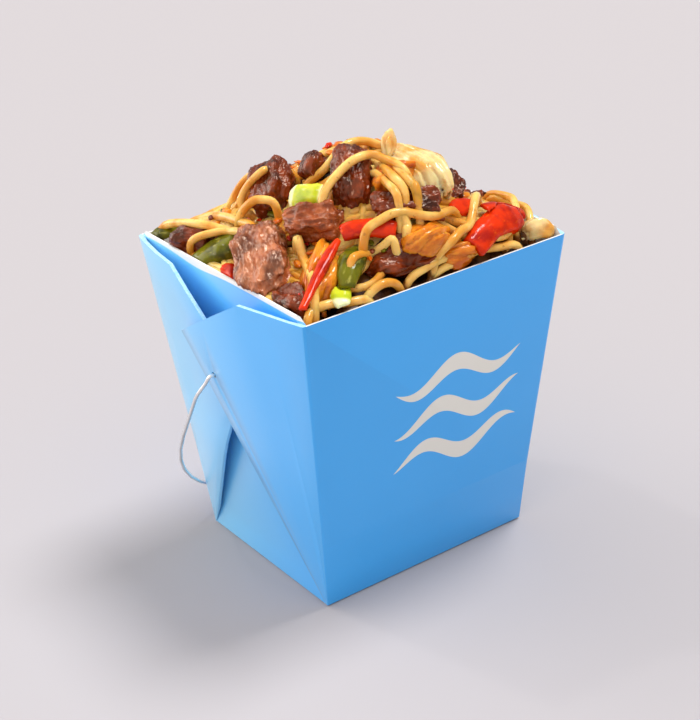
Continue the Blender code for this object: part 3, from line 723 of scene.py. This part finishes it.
# A lighter copy of the beef for the large front piece. Its lighter colours are painted sheen, in place of
# the glaze's reflections.
SHEEN_PAINTED_BEEF = beef_material(
    "beef_painted_sheen", rgb(0.27, 0.055, 0.016), rgb(0.58, 0.19, 0.075), rgb(0.10, 0.016, 0.004), gloss=1.0)
RED = pepper_material(
    "red_pepper", rgb(0.68, 0.030, 0.001), rgb(0.38, 0.008, 0.001), rgb(0.86, 0.13, 0.006))
GREEN = pepper_material(
    "green_pepper", rgb(0.15, 0.145, 0.004), rgb(0.038, 0.040, 0.002), rgb(0.50, 0.46, 0.10))
BRIGHT = pepper_material(
    "bright_leek", rgb(0.58, 0.62, 0.020), rgb(0.38, 0.47, 0.010), rgb(0.86, 0.88, 0.50),
    ends_from=4.6 * MM)
PALE_ONION = onion_material(
    "onion", rgb(0.86, 0.62, 0.29), rgb(0.70, 0.33, 0.055), rgb(0.58, 0.26, 0.045))
GLAZED_ONION = onion_material(
    "glazed_onion", rgb(0.80, 0.26, 0.015), rgb(0.54, 0.10, 0.003), rgb(0.30, 0.06, 0.002))
print("food materials", DARK_BEEF.name, RED.name, GREEN.name, PALE_ONION.name, "and their variants")

# %% Which kind gets what, and which pieces differ
MAKERS = {
    "beef": (make_beef, DARK_BEEF),
    "red_pepper": (make_pepper, RED),
    "green_pepper": (make_pepper, GREEN),
    "onion": (make_onion, GLAZED_ONION),
}
SPECIAL = {
    "leek_bright": BRIGHT,
    "pepper_green_front": BRIGHT,
    "onion_large": PALE_ONION,
    "onion_tip": PALE_ONION,
    "onion_back": PALE_ONION,
    "onion_right": PALE_ONION,
    # Painted sheen: the lighter beef
    "beef_large_left": SHEEN_PAINTED_BEEF,
    "beef_mid_left": TENDER_BEEF,
}
# How many times the exact lump's length, width and thickness a piece's looks have
RESHAPED = {
    "pepper_strip_front": (1.05, 0.70, 0.85),
    "pepper_green_front": (1.1, 0.85, 0.9),
    "beef_front": (1.15, 1.15, 1.25),
    "beef_large_left": (1.0, 0.87, 0.92),
}


def reshape(piece, node):
    """Stretch a piece along its own directions."""
    middle, rows = own_axes(piece)
    stretch = rows.T @ np.diag(RESHAPED[node]) @ rows
    for vertex in piece.data.vertices:
        vertex.co = stretch @ (np.array(vertex.co) - middle) + middle


# %% Make every piece
made = []
for seed, entry in enumerate(frame["record"]["subparts"]):
    kind, node = entry["material_slot"], entry["node"]
    if kind not in MAKERS:
        continue
    make, material = MAKERS[kind]
    piece = make(node, seed)
    if node in RESHAPED:
        reshape(piece, node)
    finish_piece(piece, "box", SPECIAL.get(node, material))
    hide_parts(node)
    made.append(piece)
print(len(made), "pieces with", sum(len(piece.data.polygons) for piece in made), "faces")

# %% [markdown]
# ## Noodles
# Fried noodles lie in a tangle of long round strands, stuck together by dark sauce. They could
# be dropped by a physics run, but over a hundred soft strands take long to settle. Here a seeded
# routine lays them one by one over a core that is dark with sauce and with painted shade for the
# gaps. Some follow the walls, and most wander across the opening and turn back at the walls. A
# height map of the pile is read under each strand, which bridges the dips as a soft noodle does.
# The map then rises where the strand lies, so strands cross over each other. The ones that lie on
# the pieces of food in plain sight are listed, with their ends tucked in. Deep strands are
# darkened with painted shade.

# %% Dark core
CORE_CELL = 1.6 * MM
CORE_TOP, CORE_DROP, CORE_INSET = 118 * MM, 3.2 * MM, 0.985
core = merged_copy("noodle_heap", "noodle_core")
apply_modifier(core, "REMESH", mode="VOXEL", voxel_size=CORE_CELL, use_smooth_shade=True)
apply_modifier(core, "SMOOTH", factor=0.5, iterations=4)
floor_z = min(v.co.z for v in core.data.vertices)
for vertex in core.data.vertices:
    rise = (vertex.co.z - floor_z) / (CORE_TOP - floor_z)
    vertex.co.x *= CORE_INSET
    vertex.co.y *= CORE_INSET
    vertex.co.z = max(floor_z, vertex.co.z - CORE_DROP * max(0.0, rise))
# Sauce and painted shade: the core's near-black brown is dark sauce, and also the shade in the gaps between
# the strands
core_sauce_and_shade, tree, shader, place = new_material(
    "dark_sauce_and_shade", Coat_Weight=0.25, Coat_Roughness=0.3, Specular_IOR_Level=0.1)
thick = patches(tree, place, 260.0, 0.4, 0.62)
sauce = mixed(tree, thick, rgb(0.045, 0.014, 0.005), rgb(0.16, 0.060, 0.014))
tree.links.new(sauce, shader.inputs["Base Color"])
tree.links.new(maths(tree, "MULTIPLY_ADD", thick, 0.2, 0.25), shader.inputs["Roughness"])
finish_piece(core, "box", core_sauce_and_shade)
print("core faces", len(core.data.polygons))

# %% Height map of the pile
CELL = 0.8 * MM
MAP_X, MAP_Y = 48 * MM, 45 * MM
COLUMNS, ROWS = int(2 * MAP_X / CELL), int(2 * MAP_Y / CELL)
EDGE_X, EDGE_Y = 47 * MM, 44 * MM
SHOULDER_Z, SHOULDER_RISE, HUMP_RISE = 99 * MM, 6 * MM, 25 * MM
HUMP_X, HUMP_Y = 4 * MM, -4 * MM
HUMP_WIDE_X, HUMP_WIDE_Y = 18 * MM, 26 * MM
START_BELOW = 4.4 * MM


def heap_height(x, y):
    """Height of the noodles' general surface."""
    edge_x = max(0.0, 1 - abs(x / EDGE_X) ** 6)
    edge_y = max(0.0, 1 - abs(y / EDGE_Y) ** 6)
    hump = math.exp(-0.5 * (((x - HUMP_X) / HUMP_WIDE_X) ** 2 + ((y - HUMP_Y) / HUMP_WIDE_Y) ** 2))
    return SHOULDER_Z + math.sqrt(edge_x * edge_y) * (SHOULDER_RISE + HUMP_RISE * hump)


pile = np.array([[heap_height(CELL * (i + 0.5) - MAP_X, CELL * (j + 0.5) - MAP_Y) - START_BELOW
                  for j in range(ROWS)] for i in range(COLUMNS)])
print("height map", pile.shape, "top", round(pile.max() / MM, 1))


# %% Laying a strand
STRAND = 1.35 * MM
SUNK = 0.7 * MM
EASING_ROUNDS, LEAST_KEPT = 7, 0.995
TUCK_DOWN, TUCK_POINTS = 2.5 * MM, 4


def cells_under(x, y, reach):
    """Slices of the height map round a point."""
    i, j = int((x + MAP_X) / CELL), int((y + MAP_Y) / CELL)
    n = int(reach / CELL) + 1
    return slice(max(0, i - n), min(COLUMNS, i + n + 1)), slice(max(0, j - n), min(ROWS, j + n + 1))


def laid(way):
    """Points of a strand lying on the pile along a way, and the pile raised under it."""
    heights = []
    for x, y in way:
        rows, columns = cells_under(x, y, STRAND)
        limit = heap_height(x, y) - SUNK
        heights.append(min(float(pile[rows, columns].max()) + STRAND, limit))
    heights = np.array(heights)
    for _ in range(EASING_ROUNDS):
        padded = np.pad(heights, 1, mode="edge")
        heights = np.maximum(heights * LEAST_KEPT, (padded[:-2] + padded[1:-1] + padded[2:]) / 3)
    from_end = np.minimum(np.arange(len(way)), np.arange(len(way))[::-1])
    heights = heights - TUCK_DOWN * np.clip(1 - from_end / TUCK_POINTS, 0, 1)
    for (x, y), z in zip(way, heights):
        rows, columns = cells_under(x, y, STRAND * 0.8)
        pile[rows, columns] = np.maximum(pile[rows, columns], z + STRAND * 0.75)
    return [Vector((x, y, z)) for (x, y), z in zip(way, heights)]


# %% Ways across the opening
STEP = 2.2 * MM
FRONT_LIMIT = -33 * MM
WALL_X, WALL_Y = 44.3 * MM, 41.8 * MM
LOOK_AHEAD, WALL_TURN = 9 * MM, 0.22
BEND_KEPT, BEND_CHANGE, BEND_TURN = 0.92, 0.35, 0.075
BACK_SHARE = 0.55
RUN_END = 41 * MM
SWAY, SWAY_RATE = 2.4 * MM, 55


def within(value, limit):
    """The value, kept between minus and plus the limit."""
    return min(limit, max(-limit, value))


def wander(rng, length):
    """A strand's way across the opening in plan, bending slowly and turning back at the walls."""
    x, y = rng.uniform(-36, 36) * MM, rng.uniform(-24, 33) * MM
    side_limit, back_limit = rng.uniform(29, 44) * MM, rng.uniform(25, 41) * MM
    heading, bend = rng.uniform(0, math.tau), rng.uniform(-1, 1)
    way = []
    for _ in range(int(length / STEP)):
        bend = BEND_KEPT * bend + rng.uniform(-BEND_CHANGE, BEND_CHANGE)
        ahead_x, ahead_y = x + LOOK_AHEAD * math.cos(heading), y + LOOK_AHEAD * math.sin(heading)
        if abs(ahead_x) > side_limit or not FRONT_LIMIT < ahead_y < back_limit:
            home = math.atan2(-y, -x)
            turn = (home - heading + math.pi) % math.tau - math.pi
            heading += math.copysign(WALL_TURN, turn)
        heading += bend * BEND_TURN
        x = within(x + STEP * math.cos(heading), WALL_X)
        y = within(y + STEP * math.sin(heading), WALL_Y)
        way.append((x, y))
    return way


def along_wall(rng, length):
    """A strand's way in plan that follows the back wall or a side wall, swaying a little."""
    back = rng.random() < BACK_SHARE
    off = rng.uniform(35, 41.6) * MM if back else rng.choice((-1, 1)) * rng.uniform(35, 43.5) * MM
    start, phase = rng.uniform(-42, 0) * MM, rng.uniform(0, math.tau)
    way = []
    for k in range(int(length / STEP)):
        run = start + k * STEP
        aside = off + SWAY * math.sin(phase + SWAY_RATE * run)
        x, y = (run, aside) if back else (aside, run)
        if run < RUN_END and y > FRONT_LIMIT:
            way.append((within(x, WALL_X), min(WALL_Y, y)))
    return way


# %% Lay the strands, first along the walls
WALL_STRANDS, WANDERING_STRANDS = 22, 74
rng = random.Random(11)
strands = []
for _ in range(WALL_STRANDS):
    strands.append(laid(along_wall(rng, rng.uniform(35, 70) * MM)))
for _ in range(WANDERING_STRANDS):
    strands.append(laid(wander(rng, rng.uniform(55, 120) * MM)))
print(len(strands), "strands laid, pile up to", round(pile.max() / MM, 1))

# %% Strands over the pieces, in mm
OVER_PIECES = [
    [(-18, -16, 125), (-12, -15, 129), (-7, -16, 132), (-1, -16, 132),
     (1, -19, 131), (2, -26, 130), (2, -30, 127), (1, -34, 126)],
    [(-14, 0, 121), (-9, -3, 126), (-3, -5, 132), (4, -5, 132), (10, -7, 129), (12, -9, 126)],
    [(-24, 36, 104), (-23, 32, 107), (-20, 28, 115), (-17, 25, 119), (-15, 17, 123), (-12, 10, 122)],
    [(-24, 28, 106), (-21, 25, 112), (-18, 22, 117), (-16, 16, 120)],
    [(-19, 12, 124), (-22, 11, 125), (-25, 15, 120), (-27, 16, 115), (-25, 13, 111), (-22, 12, 108)],
    [(-30, 12, 113), (-28, 8, 118), (-26, 5, 119), (-24, 2, 118)],
    [(-32, 42, 101), (-28, 36, 105), (-29, 24, 109), (-30, 12, 111), (-31, 4, 112)],
    [(-42, 37, 106), (-40, 20, 111), (-35, 10, 110), (-36, 2, 112)],
    [(-44, 18, 107), (-40, 13, 110), (-36, 8, 111), (-37, -2, 113)],
    [(-17, -34, 118), (-12, -34, 120), (-6, -35, 121), (3, -38, 118), (13, -35, 116)],
    [(-5, -35, 120), (-5, -37, 117), (-6, -38, 116)],
    [(-24, -37, 113), (-16, -34, 111), (-13, -36, 113), (-11, -38, 115)],
    [(25, -31, 116), (17, -38, 112), (11, -41, 112), (6, -43, 111), (1, -42, 107)],
    [(-44, -42, 101), (-41, -40, 103), (-36, -41, 104), (-30, -42, 103), (-24, -43, 102)],
    [(-25, -42, 101), (-21, -43, 105), (-16, -43, 105), (-12, -42, 101)],
    [(3, -13, 127), (-2, -26, 129), (-2, -32, 126), (-3, -34, 121)],
    [(6, -11, 128), (1, -26, 129), (1, -33, 126), (0, -36, 121)],
    [(-2, -18, 127), (-4, -27, 127), (-5, -33, 125), (-6, -35, 119)],
    [(-29, -17, 114), (-30, -21, 109), (-36, -34, 109), (-40, -40, 104)],
    [(0, -42, 102), (8, -42.5, 104), (16, -42.5, 105), (24, -42, 103.5), (31, -42, 102)],
    [(6, -39, 105), (13, -41, 107), (20, -42, 107.5), (27, -41, 106), (33, -38, 106)],
    [(-9, -42, 103), (-3, -42.5, 105.5), (3, -42, 106), (8, -40, 104)],
    [(38, -34, 106), (41, -30, 109), (43.5, -24, 109), (43, -15, 107)],
    [(41, -37, 104), (44, -32, 107), (44.3, -26, 107), (42, -18, 107)],
]

# %% Smooth ways with tucked ends
POINTS_A_STRETCH = 5
TUCK_REACH, TUCK_DIVE, TUCK_CLEARANCE = 0.4, 6 * MM, 3.2 * MM


def rounded(corners, steps):
    """A smooth way through the corners, by Catmull-Rom pieces."""
    ends = [2 * corners[0] - corners[1]] + corners + [2 * corners[-1] - corners[-2]]
    way = []
    for a, b, c, d in zip(ends, ends[1:], ends[2:], ends[3:]):
        for k in range(steps):
            t = k / steps
            way.append(0.5 * (2 * b + (c - a) * t + (2 * a - 5 * b + 4 * c - d) * t ** 2
                              + (3 * b - 3 * c + d - a) * t ** 3))
    return way + [corners[-1]]


def tucked(corners):
    """The corners, with one more at each end that dives into the pile, inside the walls."""
    more = []
    for end, inner in ((corners[0], corners[1]), (corners[-1], corners[-2])):
        tip = end + (end - inner) * TUCK_REACH - Vector((0, 0, TUCK_DIVE))
        limit = wall_half(tip.z) - TUCK_CLEARANCE
        tip.x = within(tip.x, limit[0])
        tip.y = within(tip.y, limit[1])
        more.append(tip)
    return [more[0]] + corners + [more[1]]


for corners in OVER_PIECES:
    strands.append(rounded(tucked([Vector(corner) * MM for corner in corners]), POINTS_A_STRETCH))
print(len(strands), "strands with those over the pieces")


# %% Strands into mesh
THINNEST, THICKEST, END_GIRTH = 0.88, 1.08, 0.8


def strand_mesh(name, ways):
    """One mesh of round strands along the ways, made by a bevelled curve, each of its own girth."""
    curve = bpy.data.curves.new(name, "CURVE")
    curve.dimensions = "3D"
    curve.bevel_depth = STRAND
    curve.bevel_resolution = 2
    curve.use_fill_caps = True
    for way in ways:
        spline = curve.splines.new("POLY")
        spline.points.add(len(way) - 1)
        girth = rng.uniform(THINNEST, THICKEST)
        for k, (point, place_on_way) in enumerate(zip(spline.points, way)):
            point.co = (*place_on_way, 1.0)
            point.radius = girth * (END_GIRTH if k in (0, len(way) - 1) else 1.0)
    rope = bpy.data.objects.new(name, curve)
    bpy.context.scene.collection.objects.link(rope)
    only(rope)
    bpy.ops.object.convert(target="MESH")
    bpy.ops.object.shade_smooth_by_angle(angle=math.radians(50))
    return bpy.context.object


# %% Noodle finish, with painted shade where a strand lies deep in the pile
DEEP_SHADE_FROM, DEEP_SHADE_TO, DEEP_SHADE_MOST = 0.7 * MM, 2.5 * MM, 0.9
noodle, tree, shader, place = new_material(
    "noodle", IOR=1.42, Coat_Weight=0.5, Coat_Roughness=0.07, Specular_IOR_Level=0.08,
    Subsurface_Weight=0.35, Subsurface_Scale=2.5 * MM, Subsurface_Radius=(1.0, 0.5, 0.18))
saucy = patches(tree, place, 95.0, 0.37, 0.62)
specks = patches(tree, place, 700.0, 0.62, 0.72)
colour = mixed(tree, saucy, rgb(0.90, 0.57, 0.160), rgb(0.68, 0.28, 0.028))
colour = mixed(tree, maths(tree, "MULTIPLY", specks, 0.5), colour, rgb(0.30, 0.10, 0.02))
# Painted shade: strands lying deep under the heap's surface are darkened toward near-black brown
sunk = add_node(tree, "ShaderNodeAttribute", attribute_name="depth").outputs["Fac"]
depth_shade = maths(tree, "MULTIPLY", smooth_step(tree, sunk, DEEP_SHADE_FROM, DEEP_SHADE_TO), DEEP_SHADE_MOST)
colour = mixed(tree, depth_shade, colour, rgb(0.15, 0.036, 0.004))
tree.links.new(colour, shader.inputs["Base Color"])
tree.links.new(maths(tree, "MULTIPLY_ADD", saucy, 0.1, 0.2), shader.inputs["Roughness"])
tree.links.new(grain(tree, place, 500.0, 0.12 * MM), shader.inputs["Normal"])

# %% Make the strands
noodles = strand_mesh("noodle_strands", strands)
depths = np.array([heap_height(v.co.x, v.co.y) - v.co.z for v in noodles.data.vertices])
stored = noodles.data.attributes.new("depth", "FLOAT", "POINT")
stored.data.foreach_set("value", depths.astype(np.float32))
print("strands lie up to", round(depths.max() / MM, 1), "mm under the heap's surface")
finish_piece(noodles, "box", noodle)
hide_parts("noodle_heap")
print("noodle faces", len(noodles.data.polygons))

# %% [markdown]
# ## Small bits
# Chopping and stirring leave crumbs of every ingredient. A particle system could scatter them,
# but it would leave hundreds of objects. Instead each kind is one mesh of lumpy flattened balls,
# set on the pile where its height map says the top is.

# %% Crumbs
LUMPINESS, LUMP_RATE = 0.35, 1.4
MOST_TILT = 0.6


def pile_top(x, y):
    """Height of the laid strands at a place."""
    column, row = int((x + MAP_X) / CELL), int((y + MAP_Y) / CELL)
    return float(pile[min(COLUMNS - 1, column), min(ROWS - 1, row)])


def crumbs(name, count, size, flatness, material):
    """Scattered crumbs of one kind, as one mesh."""
    bpy.ops.mesh.primitive_ico_sphere_add(subdivisions=3, radius=1.0)
    ball = bpy.context.object
    corners = [v.co.copy() for v in ball.data.vertices]
    faces = [tuple(p.vertices) for p in ball.data.polygons]
    bpy.data.objects.remove(ball)
    all_points, all_faces, own = [], [], []
    for turn in range(count):
        x, y = rng.uniform(-39, 38) * MM, rng.uniform(-38, 34) * MM
        spin = Matrix.Rotation(rng.uniform(0, math.tau), 3, "Z")
        spin = spin @ Matrix.Rotation(rng.uniform(-MOST_TILT, MOST_TILT), 3, "X")
        half = Vector((rng.uniform(0.8, 1.5), rng.uniform(0.5, 0.8), flatness)) * size
        half *= rng.uniform(0.6, 1.2)
        middle = Vector((x, y, pile_top(x, y) + 0.3 * half.z))
        start = len(all_points)
        for c in corners:
            lump = noise.noise(c * LUMP_RATE + Vector((turn * 3.7, 0, 0)))
            lumpy = c * (1 + LUMPINESS * lump)
            local = Vector((lumpy.x * half.x, lumpy.y * half.y, lumpy.z * half.z))
            own.append(local)
            all_points.append(middle + spin @ local)
        all_faces += [tuple(start + i for i in face) for face in faces]
    mesh = bpy.data.meshes.new(name)
    mesh.from_pydata(all_points, [], all_faces)
    stored = mesh.attributes.new("own", "FLOAT_VECTOR", "POINT")
    stored.data.foreach_set("vector", np.array(own, dtype=np.float32).ravel())
    piece = bpy.data.objects.new(name, mesh)
    bpy.context.scene.collection.objects.link(piece)
    only(piece)
    bpy.ops.object.shade_smooth()
    finish_piece(piece, "box", material)
    print(name, len(mesh.polygons), "faces")


crumbs("beef_crumbs", 40, 1.7 * MM, 0.55, DARK_BEEF)
crumbs("onion_crumbs", 46, 1.9 * MM, 0.35, GLAZED_ONION)
crumbs("red_crumbs", 22, 1.6 * MM, 0.4, RED)
crumbs("green_crumbs", 24, 1.6 * MM, 0.4, GREEN)
